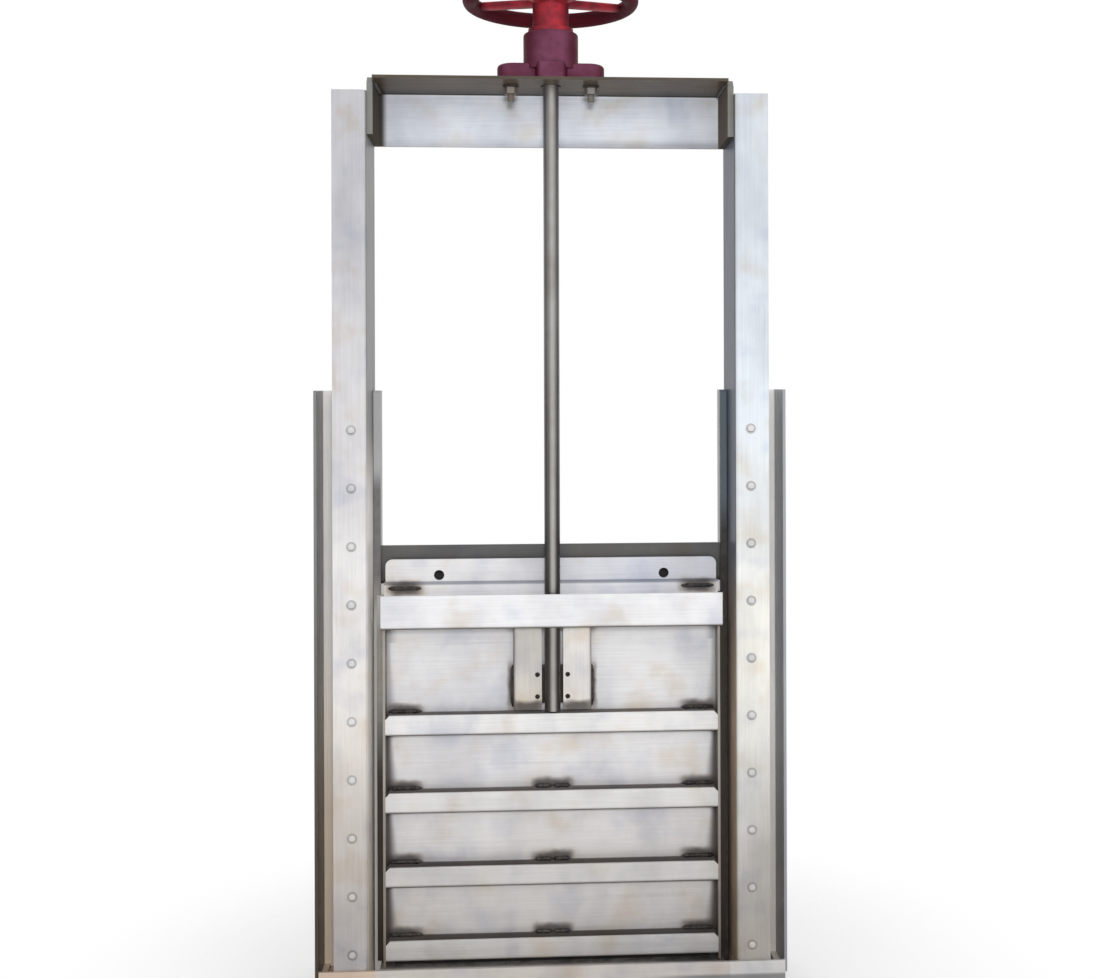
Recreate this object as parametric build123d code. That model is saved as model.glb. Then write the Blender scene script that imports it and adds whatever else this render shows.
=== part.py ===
"""Wall-mounted stainless sluice gate with a rising stem, closed, in millimetres.

The wall plane is Y = 0, the front is -Y, X = 0 is the middle and Z = 0 the underside of the feet.
"""

import os

from build123d import *

# Opening and frame: uprights, wall channels, feet and sill
OPENING_WIDTH = 650
OPENING_HEIGHT = 780
FRAME_DEPTH = 180
BEND_RADIUS = 4
SILL_TOP = 30
SILL_DEPTH = 104
SILL_SHEET = 6
JAMB_WIDTH = 29
JAMB_SHEET = 6
CHANNEL_WIDTH = 130
CHANNEL_SHEET = 6
CHANNEL_OUTER_LEG = 106
CHANNEL_INNER_LEG = 44
CHANNEL_OVER_OPENING = 402
ANCHOR_HOLE = 14
ANCHOR_ROWS = 4
ANCHOR_MARGIN = 114
ANCHOR_OFFSET = 17
UPRIGHT_SETBACK = 15
UPRIGHT_FACE = 68
UPRIGHT_SHEET = 5
UPRIGHT_OVER_CHANNEL = 598
POST_SHEET = 8
POST_RECESS = 5
FOOT_HEIGHT = 60
FOOT_WIDTH = 112
FOOT_SHEET = 6
LINTEL_HEIGHT = 80
LINTEL_SHEET = 6

# Strips and seals
STRIP_WIDTH = 14
STRIP_THICK = 10
STRIP_LEAD_IN = 4
SEAL_WIDTH = 16
SEAL_THICK = 10
SEAL_CROWN = 4
SILL_SEAL_HEIGHT = 6

# Leaf: plate, edge bars and stiffeners, whose tops are shares of the leaf's height
LEAF_GAP = 5
LEAF_SEAT = 0.3
PLATE_THICK = 8
PLATE_OVERLAP = 7
PLATE_OVER_OPENING = 53
NECK_INSET = 18
NECK_HEIGHT = 73
NECK_RADIUS = 14
EDGE_CLEARANCE = 8
EDGE_SHEET = 5
RIB_SHEET = 5
RIB_DEPTH = 38
RIB_HEIGHT = 43
RIB_SHARES = [0.672, 0.464, 0.265, 0.068]
RIB_CORNER = 8
TOP_RIB_DROP = 65
TOP_RIB_HEIGHT = 69
TOP_RIB_DEPTH = 80
TOP_RIB_BACK_RISE = 18
LIFT_HOLE = 21
LIFT_HOLE_INSET = 110
LIFT_HOLE_DROP = 33

# Stem and its fixing to the leaf
STEM_DIAMETER = 32
STEM_LEAD = 5
STEM_PROUD = 33
STEM_TIP = 6
STEM_CLEARANCE = 0.05
STEM_HOLE_GAP = 5
LUG_GAP = 6
LUG_WIDTH = 58
LUG_SHEET = 6
LUG_OVER_RIB = 8
LUG_HOLE = 10
LUG_HOLE_INSET = 9
LUG_HOLE_RISES = [27, 72]
SADDLE_MARGIN = 14

# Top beam and headstock
BEAM_RISE = 24
BEAM_SHEET = 6
BEAM_DROP = 116
BEAM_WALL_GAP = 8
END_PLATE = 12
END_CHAMFER = 14
BASE_WIDTH = 124
EAR_REACH = 47.5
EAR_RADIUS = 34
LOBE_WIDTH = 60
LOBE_REACH = 28
LOBE_CORNER = 14
BASE_THICK = 36
BASE_BOLT_INSET = 27.5
BASE_BOLT_HOLE = 18
HEAD_NECK = 112
HEAD_HEIGHT = 64
NECK_SINK = 12
NECK_ROUND = 6
BASE_ROUND = 8
EAR_BLEND = 10

# Stem nut, handwheel and its nut
NUT_BODY = 68
NUT_COLLAR = 92
NUT_COLLAR_HEIGHT = 9
NUT_SPIGOT = 46
RUNNING_GAP = 0.3
BORE_CLEARANCE = 0.05
WHEEL_DIAMETER = 360
WHEEL_DISH = 2
RIM_SECTION = 32
HUB_DIAMETER = 74
HUB_HEIGHT = 76
SPOKES = 5
SPOKE_WIDTH_HUB = 44
SPOKE_WIDTH_RIM = 34
SPOKE_SINK = 10
SPOKE_DROP = 20
SPOKE_THICK = 16
LOCKNUT_ACROSS = 65
LOCKNUT_HEIGHT = 18
LOCKNUT_CHAMFER = 3

OPENING_HALF = OPENING_WIDTH / 2
OPENING_TOP = SILL_TOP + OPENING_HEIGHT
CHANNEL_INNER = OPENING_HALF + JAMB_WIDTH
CHANNEL_OUTER = CHANNEL_INNER + CHANNEL_WIDTH
CHANNEL_TOP = OPENING_TOP + CHANNEL_OVER_OPENING
TOE_FRONT = -FRAME_DEPTH - FOOT_SHEET
UPRIGHT_INNER = CHANNEL_INNER + UPRIGHT_SETBACK
UPRIGHT_OUTER = UPRIGHT_INNER + UPRIGHT_FACE
UPRIGHT_TOP = CHANNEL_TOP + UPRIGHT_OVER_CHANNEL
POST_OUTER = UPRIGHT_OUTER - POST_RECESS
STRIP_FRONT = -(CHANNEL_INNER_LEG + STRIP_THICK)
PLATE_BACK = STRIP_FRONT - LEAF_GAP
PLATE_FRONT = PLATE_BACK - PLATE_THICK
PLATE_HALF = CHANNEL_INNER + PLATE_OVERLAP
PLATE_BOTTOM = SILL_TOP + SILL_SEAL_HEIGHT + LEAF_SEAT
PLATE_TOP = OPENING_TOP + PLATE_OVER_OPENING
EDGE_HALF = CHANNEL_INNER - EDGE_CLEARANCE
RIB_FRONT = PLATE_FRONT - RIB_DEPTH
TOP_RIB_FRONT = PLATE_FRONT - TOP_RIB_DEPTH
TOP_RIB_TOP = PLATE_TOP - TOP_RIB_DROP
TOP_RIB_BOTTOM = TOP_RIB_TOP - TOP_RIB_HEIGHT
RIB_TOPS = [PLATE_BOTTOM + share * (TOP_RIB_TOP - PLATE_BOTTOM) for share in RIB_SHARES]
STEM_Y = RIB_FRONT - STEM_LEAD
LUG_INNER = STEM_DIAMETER / 2 + LUG_GAP
LUG_OUTER = LUG_INNER + LUG_WIDTH
LUG_BOTTOM = RIB_TOPS[0] + LUG_OVER_RIB
LUG_HOLE_ROWS = [LUG_BOTTOM + rise for rise in LUG_HOLE_RISES]
BEAM_UNDERSIDE = UPRIGHT_TOP + BEAM_RISE
BEAM_TOP = BEAM_UNDERSIDE + BEAM_SHEET
BASE_TOP = BEAM_TOP + BASE_THICK
BASE_BOLT_X = BASE_WIDTH / 2 + EAR_REACH - BASE_BOLT_INSET
HEAD_TOP = BASE_TOP + HEAD_HEIGHT
HUB_BOTTOM = HEAD_TOP + RUNNING_GAP + NUT_COLLAR_HEIGHT
HUB_TOP = HUB_BOTTOM + HUB_HEIGHT
SPOKE_ROOT = HUB_TOP - SPOKE_DROP
WHEEL_PLANE = SPOKE_ROOT + WHEEL_DISH
STEM_TOP = HUB_TOP + LOCKNUT_HEIGHT + STEM_PROUD
SIDES = {"left": -1, "right": 1}

pieces = {}


def block(x0, x1, y0, y1, z0, z1):
    """A box between two corners."""
    middle = Pos((x0 + x1) / 2, (y0 + y1) / 2, (z0 + z1) / 2)
    return middle * Box(abs(x1 - x0), abs(y1 - y0), abs(z1 - z0))


def folded_face(line, sheet, radius):
    """The section of a folded sheet, its metal left of the line, or right of it if sheet is negative."""
    points = [Vector(*point) for point in line]
    runs = [(b - a).normalized() for a, b in zip(points, points[1:])]
    normals = [Vector(-run.Y, run.X) for run in runs]
    inner = [points[0] + normals[0] * sheet]
    for first, second, point in zip(normals, normals[1:], points[1:-1]):
        inner.append(point + (first + second) * (sheet / (1 + first.dot(second))))
    inner.append(points[-1] + normals[-1] * sheet)
    face = make_face(Polyline(*points, *reversed(inner), close=True)).face()
    for before, after, outside, inside in zip(runs, runs[1:], points[1:-1], inner[1:-1]):
        line_outside = (before.cross(after).Z > 0) == (sheet > 0)
        corners = (outside, inside) if line_outside else (inside, outside)
        for corner, corner_radius in zip(corners, (radius + abs(sheet), radius)):
            vertex = min(face.vertices(), key=lambda v: (Vector(v) - corner).length)
            face = face.fillet_2d(corner_radius, [vertex])
    return face


def upright_extrusion(face, bottom, top):
    """A plan section in X and Y, raised from bottom to top."""
    return Pos(0, 0, bottom) * extrude(face, top - bottom)


def level_extrusion(face, half):
    """A section drawn in Y and Z, run level from -half to half in X."""
    plane = Plane(origin=(-half, 0, 0), x_dir=(0, 1, 0), z_dir=(1, 0, 0))
    return extrude(plane * face, 2 * half, dir=(1, 0, 0))


def mirrored(shape, side):
    """The right-hand shape, or its mirror image on the left."""
    return shape if side > 0 else mirror(shape, about=Plane.YZ)


def cylinder_between(diameter, bottom, top, x=0.0, y=STEM_Y):
    """An upright cylinder."""
    return Pos(x, y, (bottom + top) / 2) * Cylinder(diameter / 2, top - bottom)


def make_upright():
    """Bent angle with a front face and a return to the wall channel, standing in the foot."""
    face = folded_face(
        [
            (UPRIGHT_INNER, -CHANNEL_SHEET),
            (UPRIGHT_INNER, -FRAME_DEPTH),
            (UPRIGHT_OUTER, -FRAME_DEPTH),
        ],
        UPRIGHT_SHEET,
        BEND_RADIUS,
    )
    return upright_extrusion(face, FOOT_SHEET + BEND_RADIUS, UPRIGHT_TOP)


def make_guide_channel():
    """Folded wall channel with a short inner leg and a long outer leg."""
    face = folded_face(
        [
            (CHANNEL_INNER, -CHANNEL_INNER_LEG),
            (CHANNEL_INNER, 0),
            (CHANNEL_OUTER, 0),
            (CHANNEL_OUTER, -CHANNEL_OUTER_LEG),
        ],
        -CHANNEL_SHEET,
        BEND_RADIUS,
    )
    channel = upright_extrusion(face, FOOT_SHEET, CHANNEL_TOP)
    low, high = FOOT_SHEET + ANCHOR_MARGIN, CHANNEL_TOP - ANCHOR_MARGIN
    for row in range(ANCHOR_ROWS):
        z = low + (high - low) * row / (ANCHOR_ROWS - 1)
        middle = Pos(POST_OUTER + ANCHOR_OFFSET, 0, z)
        channel -= middle * Rot(90, 0, 0) * Cylinder(ANCHOR_HOLE / 2, 4 * CHANNEL_SHEET)
    return channel


def make_post_angle():
    """Angle bar behind the upright's face, which closes the post and takes the face bolts."""
    inner = UPRIGHT_INNER + UPRIGHT_SHEET + BEND_RADIUS
    front = -FRAME_DEPTH + UPRIGHT_SHEET
    face = folded_face(
        [(inner, front), (POST_OUTER, front), (POST_OUTER, -CHANNEL_SHEET)], POST_SHEET, BEND_RADIUS
    )
    return upright_extrusion(face, FOOT_SHEET, CHANNEL_TOP)


def make_foot():
    """Folded toe: a flange in front of the upright, and a floor on which the side's sheets stand."""
    face = folded_face([(0, 0), (TOE_FRONT, 0), (TOE_FRONT, FOOT_HEIGHT)], -FOOT_SHEET, BEND_RADIUS)
    return Pos(CHANNEL_INNER + FOOT_WIDTH / 2, 0, 0) * level_extrusion(face, FOOT_WIDTH / 2)


def make_strip():
    """Slide strip on the inner leg, on which the leaf's edge runs."""
    strip = block(
        CHANNEL_INNER, CHANNEL_INNER + STRIP_WIDTH, STRIP_FRONT, -CHANNEL_INNER_LEG, FOOT_SHEET, CHANNEL_TOP
    )
    lead_in = strip.edges().filter_by(Axis.X).group_by(Axis.Z)[-1].sort_by(Axis.Y)[0]
    return chamfer(lead_in, STRIP_LEAD_IN)


def make_jamb():
    """Folded angle that narrows the wall channel to the opening and carries the side seal."""
    face = folded_face(
        [(CHANNEL_INNER, -CHANNEL_INNER_LEG), (OPENING_HALF, -CHANNEL_INNER_LEG), (OPENING_HALF, 0)],
        -JAMB_SHEET,
        BEND_RADIUS,
    )
    return upright_extrusion(face, SILL_TOP, OPENING_TOP)


def make_side_seal():
    """Rubber strip with a round crown, on the jamb's front."""
    width_half, body = SEAL_WIDTH / 2, SEAL_THICK - SEAL_CROWN
    middle = (OPENING_HALF + CHANNEL_INNER) / 2
    base = -CHANNEL_INNER_LEG
    outline = [
        Line((middle - width_half, base), (middle + width_half, base)),
        Line((middle + width_half, base), (middle + width_half, base - body)),
        ThreePointArc(
            (middle + width_half, base - body),
            (middle, base - SEAL_THICK),
            (middle - width_half, base - body),
        ),
        Line((middle - width_half, base - body), (middle - width_half, base)),
    ]
    return upright_extrusion(make_face(outline), SILL_TOP, OPENING_TOP)


def make_lintel():
    """Folded angle over the opening, between the wall channels' inner legs."""
    face = folded_face(
        [(-CHANNEL_INNER_LEG, OPENING_TOP + LINTEL_HEIGHT), (-CHANNEL_INNER_LEG, OPENING_TOP), (0, OPENING_TOP)],
        LINTEL_SHEET,
        BEND_RADIUS,
    )
    return level_extrusion(face, CHANNEL_INNER)


def make_top_seal():
    """Rubber strip on the lintel's front, behind the leaf's top edge."""
    low = OPENING_TOP + BEND_RADIUS + LINTEL_SHEET
    strip = block(
        -OPENING_HALF, OPENING_HALF, -CHANNEL_INNER_LEG - SEAL_THICK, -CHANNEL_INNER_LEG, low, low + SEAL_WIDTH
    )
    return fillet(strip.edges().filter_by(Axis.X).group_by(Axis.Y)[0], SEAL_CROWN)


def make_sill():
    """Folded pan between the feet: a raised seat under the leaf and a toe flange in front."""
    toe = TOE_FRONT + SILL_SHEET
    face = folded_face(
        [
            (0, 0),
            (0, SILL_TOP),
            (-SILL_DEPTH, SILL_TOP),
            (-SILL_DEPTH, SILL_SHEET),
            (toe, SILL_SHEET),
            (toe, FOOT_HEIGHT),
        ],
        SILL_SHEET,
        BEND_RADIUS,
    )
    return level_extrusion(face, CHANNEL_INNER)


def make_sill_seal():
    """Flat rubber strip on the sill, under the leaf."""
    return block(
        -OPENING_HALF,
        OPENING_HALF,
        PLATE_FRONT - LEAF_GAP,
        PLATE_BACK + LEAF_GAP - RUNNING_GAP,
        SILL_TOP,
        SILL_TOP + SILL_SEAL_HEIGHT,
    )


def make_plate():
    """The leaf's plate, with a narrower top strip and two lifting holes."""
    neck_half, neck_bottom = PLATE_HALF - NECK_INSET, PLATE_TOP - NECK_HEIGHT
    lower = block(-PLATE_HALF, PLATE_HALF, PLATE_FRONT, PLATE_BACK, PLATE_BOTTOM, neck_bottom)
    upper = block(-neck_half, neck_half, PLATE_FRONT, PLATE_BACK, neck_bottom, PLATE_TOP)
    upper = fillet(upper.edges().filter_by(Axis.Y).group_by(Axis.Z)[-1], NECK_RADIUS)
    plate = lower + upper
    hole_x = neck_half - LIFT_HOLE_INSET
    for x in (-hole_x, hole_x):
        middle = Pos(x, (PLATE_FRONT + PLATE_BACK) / 2, PLATE_TOP - LIFT_HOLE_DROP)
        plate -= middle * Rot(90, 0, 0) * Cylinder(LIFT_HOLE / 2, 2 * PLATE_THICK)
    return plate


def make_leaf_edge():
    """Upright flat bar that closes the stiffeners' ends, from the plate's foot to the top stiffener."""
    return block(
        EDGE_HALF - EDGE_SHEET, EDGE_HALF, RIB_FRONT, PLATE_FRONT, PLATE_BOTTOM, TOP_RIB_BOTTOM
    )


def make_rib(top):
    """Folded trough across the plate, one leg on it and one in front, with cut top corners."""
    half = EDGE_HALF - EDGE_SHEET
    bottom = top - RIB_HEIGHT
    face = folded_face(
        [(PLATE_FRONT, top), (PLATE_FRONT, bottom), (RIB_FRONT, bottom), (RIB_FRONT, top)],
        -RIB_SHEET,
        BEND_RADIUS,
    )
    rib = level_extrusion(face, half)
    return chamfer(rib.edges().filter_by(Axis.Y).group_by(Axis.Z)[-1], RIB_CORNER)


def make_top_rib():
    """The deep top stiffener: a trough in front of the plate that the stem passes down through."""
    face = folded_face(
        [
            (PLATE_FRONT, TOP_RIB_TOP + TOP_RIB_BACK_RISE),
            (PLATE_FRONT, TOP_RIB_BOTTOM),
            (TOP_RIB_FRONT, TOP_RIB_BOTTOM),
            (TOP_RIB_FRONT, TOP_RIB_TOP),
        ],
        -RIB_SHEET,
        BEND_RADIUS,
    )
    trough = level_extrusion(face, EDGE_HALF)
    low, high = TOP_RIB_BOTTOM - RIB_SHEET, TOP_RIB_BOTTOM + 2 * RIB_SHEET
    return trough - cylinder_between(STEM_DIAMETER + 2 * STEM_HOLE_GAP, low, high)


def make_lug():
    """Angle lug beside the stem's foot, welded to the plate at its outer leg."""
    face = folded_face(
        [(LUG_INNER, RIB_FRONT), (LUG_OUTER, RIB_FRONT), (LUG_OUTER, PLATE_FRONT)], LUG_SHEET, BEND_RADIUS
    )
    lug = upright_extrusion(face, LUG_BOTTOM, TOP_RIB_BOTTOM)
    for z in LUG_HOLE_ROWS:
        lug -= Pos(LUG_INNER + LUG_HOLE_INSET, RIB_FRONT, z) * Rot(90, 0, 0) * Cylinder(LUG_HOLE / 2, 4 * LUG_SHEET)
    return lug


def make_saddle():
    """Block behind the lugs, grooved for the stem's foot."""
    half = LUG_OUTER - LUG_SHEET - BEND_RADIUS
    saddle = block(
        -half,
        half,
        RIB_FRONT + LUG_SHEET,
        PLATE_FRONT,
        LUG_HOLE_ROWS[0] - SADDLE_MARGIN,
        LUG_HOLE_ROWS[-1] + SADDLE_MARGIN,
    )
    return saddle - cylinder_between(STEM_DIAMETER, 0, STEM_TOP)


def make_stem():
    """Plain rising stem with a chamfered tip."""
    stem = cylinder_between(STEM_DIAMETER, LUG_BOTTOM, STEM_TOP)
    return chamfer(stem.edges().filter_by(GeomType.CIRCLE).sort_by(Axis.Z)[-1], STEM_TIP)


def make_beam():
    """Folded angle: a deep top flange with the web at the back, drilled for stem and headstock."""
    back = -BEAM_WALL_GAP
    face = folded_face(
        [(-FRAME_DEPTH, BEAM_TOP), (back, BEAM_TOP), (back, BEAM_TOP - BEAM_DROP)], -BEAM_SHEET, BEND_RADIUS
    )
    beam = level_extrusion(face, UPRIGHT_INNER - END_PLATE)
    holes = [(0, STEM_DIAMETER + 2 * STEM_HOLE_GAP)]
    holes += [(x, BASE_BOLT_HOLE) for x in (-BASE_BOLT_X, BASE_BOLT_X)]
    for x, diameter in holes:
        beam -= cylinder_between(diameter, BEAM_UNDERSIDE - BEAM_SHEET, BEAM_TOP + BEAM_SHEET, x)
    return beam


def make_beam_end():
    """Plate that closes the beam's end and bolts to the upright's return."""
    plate = block(
        UPRIGHT_INNER - END_PLATE,
        UPRIGHT_INNER,
        -FRAME_DEPTH + END_CHAMFER,
        -BEAM_WALL_GAP,
        BEAM_TOP - BEAM_DROP,
        BEAM_TOP,
    )
    corner = plate.edges().filter_by(Axis.X).group_by(Axis.Y)[0].sort_by(Axis.Z)[-1]
    return chamfer(corner, END_CHAMFER)


def make_headstock():
    """Cast pedestal: a rounded base with two ears and a lobe in front and behind, and a round neck."""
    outline = SlotOverall(BASE_WIDTH + 2 * EAR_REACH, 2 * EAR_RADIUS)
    outline += RectangleRounded(LOBE_WIDTH, 2 * (EAR_RADIUS + LOBE_REACH), LOBE_CORNER)
    corners = [(x, y) for x in (-LOBE_WIDTH / 2, LOBE_WIDTH / 2) for y in (-EAR_RADIUS, EAR_RADIUS)]
    hollows = [outline.vertices().sort_by_distance(corner)[0] for corner in corners]
    outline = fillet(hollows, EAR_BLEND)
    base = Pos(0, STEM_Y, BEAM_TOP) * extrude(outline, BASE_THICK)
    neck = cylinder_between(HEAD_NECK, BASE_TOP - NECK_SINK, HEAD_TOP)
    body = fillet(base.edges().group_by(Axis.Z)[-1], BASE_ROUND)
    body += fillet(neck.edges().group_by(Axis.Z)[-1], NECK_ROUND)
    body -= cylinder_between(NUT_BODY + 2 * BORE_CLEARANCE, BASE_TOP, HEAD_TOP)
    body -= cylinder_between(STEM_DIAMETER + 2 * STEM_HOLE_GAP, BEAM_TOP, BASE_TOP)
    for x in (-BASE_BOLT_X, BASE_BOLT_X):
        body -= cylinder_between(BASE_BOLT_HOLE, BEAM_TOP, BASE_TOP, x)
    return body


def make_stem_nut():
    """Bronze nut in the neck's bore, with a thrust collar and a spigot for the wheel."""
    nut = cylinder_between(NUT_BODY, BASE_TOP + RUNNING_GAP, HEAD_TOP + RUNNING_GAP)
    nut += cylinder_between(NUT_COLLAR, HEAD_TOP + RUNNING_GAP, HUB_BOTTOM)
    nut += cylinder_between(NUT_SPIGOT, HUB_BOTTOM, HUB_TOP + LOCKNUT_HEIGHT)
    return nut - cylinder_between(STEM_DIAMETER + 2 * STEM_CLEARANCE, BASE_TOP, STEM_TOP)


def make_handwheel():
    """Cast wheel: round rim, tapered spokes and a bored hub."""
    rim_radius = (WHEEL_DIAMETER - RIM_SECTION) / 2
    wheel = Pos(0, STEM_Y, WHEEL_PLANE) * Torus(rim_radius, RIM_SECTION / 2)
    wheel += cylinder_between(HUB_DIAMETER, HUB_BOTTOM, HUB_TOP)
    start = HUB_DIAMETER / 2 - SPOKE_SINK
    for index in range(SPOKES):
        turn = Pos(0, STEM_Y, 0) * Rot(0, 0, 90 + 360 * index / SPOKES)
        foot = Plane(origin=(start, 0, SPOKE_ROOT), x_dir=(0, 1, 0), z_dir=(1, 0, 0))
        tip = Plane(origin=(rim_radius, 0, WHEEL_PLANE), x_dir=(0, 1, 0), z_dir=(1, 0, 0))
        sections = [
            foot * Ellipse(SPOKE_WIDTH_HUB / 2, SPOKE_THICK / 2),
            tip * Ellipse(SPOKE_WIDTH_RIM / 2, SPOKE_THICK / 2),
        ]
        wheel += turn * loft(sections)
    return wheel - cylinder_between(NUT_SPIGOT, HUB_BOTTOM, HUB_TOP)


def make_locknut():
    """Hexagon nut that keeps the wheel on the spigot."""
    hexagon = RegularPolygon(LOCKNUT_ACROSS / 2, 6, major_radius=False)
    nut = Pos(0, STEM_Y, HUB_TOP) * extrude(hexagon, LOCKNUT_HEIGHT)
    nut = chamfer(nut.edges().group_by(Axis.Z)[-1], LOCKNUT_CHAMFER)
    return nut - cylinder_between(NUT_SPIGOT, HUB_TOP, HUB_TOP + LOCKNUT_HEIGHT)


for side_name, side in SIDES.items():
    pieces[f"{side_name}_foot"] = mirrored(make_foot(), side)
    pieces[f"{side_name}_upright"] = mirrored(make_upright(), side)
    pieces[f"{side_name}_guide_channel"] = mirrored(make_guide_channel(), side)
    pieces[f"{side_name}_post_angle"] = mirrored(make_post_angle(), side)
    pieces[f"{side_name}_slide_strip"] = mirrored(make_strip(), side)
    pieces[f"{side_name}_jamb"] = mirrored(make_jamb(), side)
    pieces[f"{side_name}_side_seal"] = mirrored(make_side_seal(), side)
    pieces[f"{side_name}_beam_end"] = mirrored(make_beam_end(), side)
    pieces[f"{side_name}_leaf_edge"] = mirrored(make_leaf_edge(), side)
    pieces[f"{side_name}_stem_lug"] = mirrored(make_lug(), side)

pieces["sill"] = make_sill()
pieces["sill_seal"] = make_sill_seal()
pieces["lintel"] = make_lintel()
pieces["top_seal"] = make_top_seal()
pieces["top_beam"] = make_beam()
pieces["headstock"] = make_headstock()
pieces["leaf_plate"] = make_plate()
pieces["top_stiffener"] = make_top_rib()
for number, rib_top in enumerate(RIB_TOPS, start=2):
    pieces[f"stiffener_{number}"] = make_rib(rib_top)
pieces["stem_saddle"] = make_saddle()
pieces["stem"] = make_stem()
pieces["stem_nut"] = make_stem_nut()
pieces["handwheel"] = make_handwheel()
pieces["wheel_locknut"] = make_locknut()

os.makedirs("parts", exist_ok=True)
for name, shape in pieces.items():
    export_step(shape, f"parts/{name}.step")
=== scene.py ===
import math
import random

import bmesh
import bpy
from mathutils import Matrix, Vector


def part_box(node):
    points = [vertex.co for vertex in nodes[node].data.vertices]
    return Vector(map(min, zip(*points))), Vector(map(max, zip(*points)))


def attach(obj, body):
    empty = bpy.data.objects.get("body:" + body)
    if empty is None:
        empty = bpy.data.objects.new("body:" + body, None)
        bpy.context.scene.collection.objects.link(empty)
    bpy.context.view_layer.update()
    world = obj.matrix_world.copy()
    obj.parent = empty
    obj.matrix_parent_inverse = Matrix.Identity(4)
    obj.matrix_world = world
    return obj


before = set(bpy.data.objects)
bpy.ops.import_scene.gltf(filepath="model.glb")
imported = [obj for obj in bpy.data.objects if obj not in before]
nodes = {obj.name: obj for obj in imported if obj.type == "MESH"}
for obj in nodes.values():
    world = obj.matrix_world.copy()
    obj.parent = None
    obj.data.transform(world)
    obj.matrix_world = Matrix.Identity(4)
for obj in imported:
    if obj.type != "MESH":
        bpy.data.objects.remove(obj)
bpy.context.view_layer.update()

# Camera, in pixels of the photograph, metres and radians
PHOTO_WIDTH = 1093.0
PHOTO_HEIGHT = 978.0
FOCAL_LENGTH = 1500.0
SIGHT_X = 619.41
SIGHT_Y = 390.81
CAMERA_PLACE = (-0.0604, -3.1855, 1.2099)
CAMERA_YAW = 0.0647
CAMERA_ROLL = -0.0030
SENSOR_WIDTH = 36.0

# Floor, in metres
FLOOR_RADIUS = 2.4
FLOOR_PLACE = (0.0, -0.1, -0.001)

# Fasteners, in metres
FACE_BOLT_X = 0.400
FACE_BOLT_TOP = 1.133
FACE_BOLT_PITCH = 0.1158
FACE_BOLTS = 10
HEAD_STUD_X = 0.082
EAR_TOP = 1.876
STEM_Y = -0.110

# Places on the pieces, in metres
FULL_HEIGHT = 2.1
BEAM_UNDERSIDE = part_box("top_beam")[1].z - 0.006
BEAM_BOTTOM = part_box("top_beam")[0].z
BEAM_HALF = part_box("top_beam")[1].x
FLANGE_FRONT = -0.179
BEAM_END_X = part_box("right_beam_end")[0].x + 0.001
BEAM_END_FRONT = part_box("right_beam_end")[0].y + 0.001
CHANNEL_LEG_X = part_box("right_guide_channel")[1].x - 0.0065
CHANNEL_LEG_FRONT = -0.104
WEB_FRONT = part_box("right_guide_channel")[1].y - 0.003
UPRIGHT_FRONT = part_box("right_upright")[0].y
RETURN_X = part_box("right_upright")[0].x + 0.001
FOOT_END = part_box("right_foot")[1].x
PLATE_FRONT = -0.067
PANEL_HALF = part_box("right_leaf_edge")[0].x
TROUGH_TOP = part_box("top_stiffener")[1].z
TROUGH_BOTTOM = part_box("top_stiffener")[0].z
SEAM_Z = TROUGH_TOP - 0.002
RIB_TOPS = [round(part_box(f"stiffener_{number}")[1].z, 4) for number in (2, 3, 4, 5)]
RIB_PITCH = (RIB_TOPS[1] - RIB_TOPS[3]) / 2
RIB_LEG_FRONT = PLATE_FRONT - 0.0062
MARGIN_X = PANEL_HALF + 0.0052
MARGIN_TOP = TROUGH_BOTTOM + 0.090
LUG_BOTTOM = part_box("right_stem_lug")[0].z

# Plates that close the channels' feet, in metres
CLOSER_LAP = 0.001
CLOSER_DEPTH = 0.054
CLOSER_THICKNESS = 0.009
CLOSER_Y = -0.033
CLOSER_Z = 0.0065

# Welds, in metres
STITCH_Y = PLATE_FRONT - 0.0045
STITCH_RISE = 0.002
STITCH_ENDS = (0.004, 0.072)
MIDDLE_STITCH = (0.002, 0.036)
TROUGH_BEAD_Y = PLATE_FRONT - 0.0065
TROUGH_BEAD_Z = TROUGH_TOP - 0.012
LUG_BEAD_X = 0.082
LUG_BEAD_Y = PLATE_FRONT - 0.002
LUG_BEAD_LENGTH = 0.085
LUG_BURN = (0.051, -0.105, LUG_BOTTOM + 0.006)
LUG_BURN_REACH = (0.052, 0.012, 0.017)
STITCH_BURN_REACH = (0.052, 0.020, 0.023)
LEAF_SCORCH_SPREAD = (0.014, 0.020, 0.021)
BEAM_SCORCH_SPREAD = (0.009, 0.009, 0.009)
BEAM_BEAD_X = BEAM_HALF - 0.001
BEAM_BEAD_Y = (-0.150, -0.020)
BEAM_BEAD_Z = 1.833
LEAF_BEAD_RADIUS = 0.0046
BEAM_BEAD_RADIUS = 0.0045
BEAD_SIDES = 10
BEAD_STEP = 0.0011
BEAD_SEED = 100

ALONG_X = (0.03, 1.0, 1.0)
ALONG_Z = (1.0, 1.0, 0.03)


def linear(red, green, blue):
    """A colour given in screen values from 0 to 255, as Blender's own linear values."""
    values = []
    for value in (red, green, blue):
        share = value / 255
        values.append(share / 12.92 if share <= 0.04045 else ((share + 0.055) / 1.055) ** 2.4)
    return (*values, 1.0)


BRIGHT_SHEET = linear(250, 250, 251)
# Painted shade for the undersides of the sheet.
UNDER_SHADE = linear(112, 104, 92)
SCRATCHED = linear(150, 148, 145)
DULL_FILM = linear(206, 198, 189)
STRAW_TINT = linear(204, 192, 182)
BURNT = linear(70, 66, 64)
# Painted shade and soiling for the corners.
CORNER_SHADE_AND_DIRT = linear(56, 50, 45)


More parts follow.
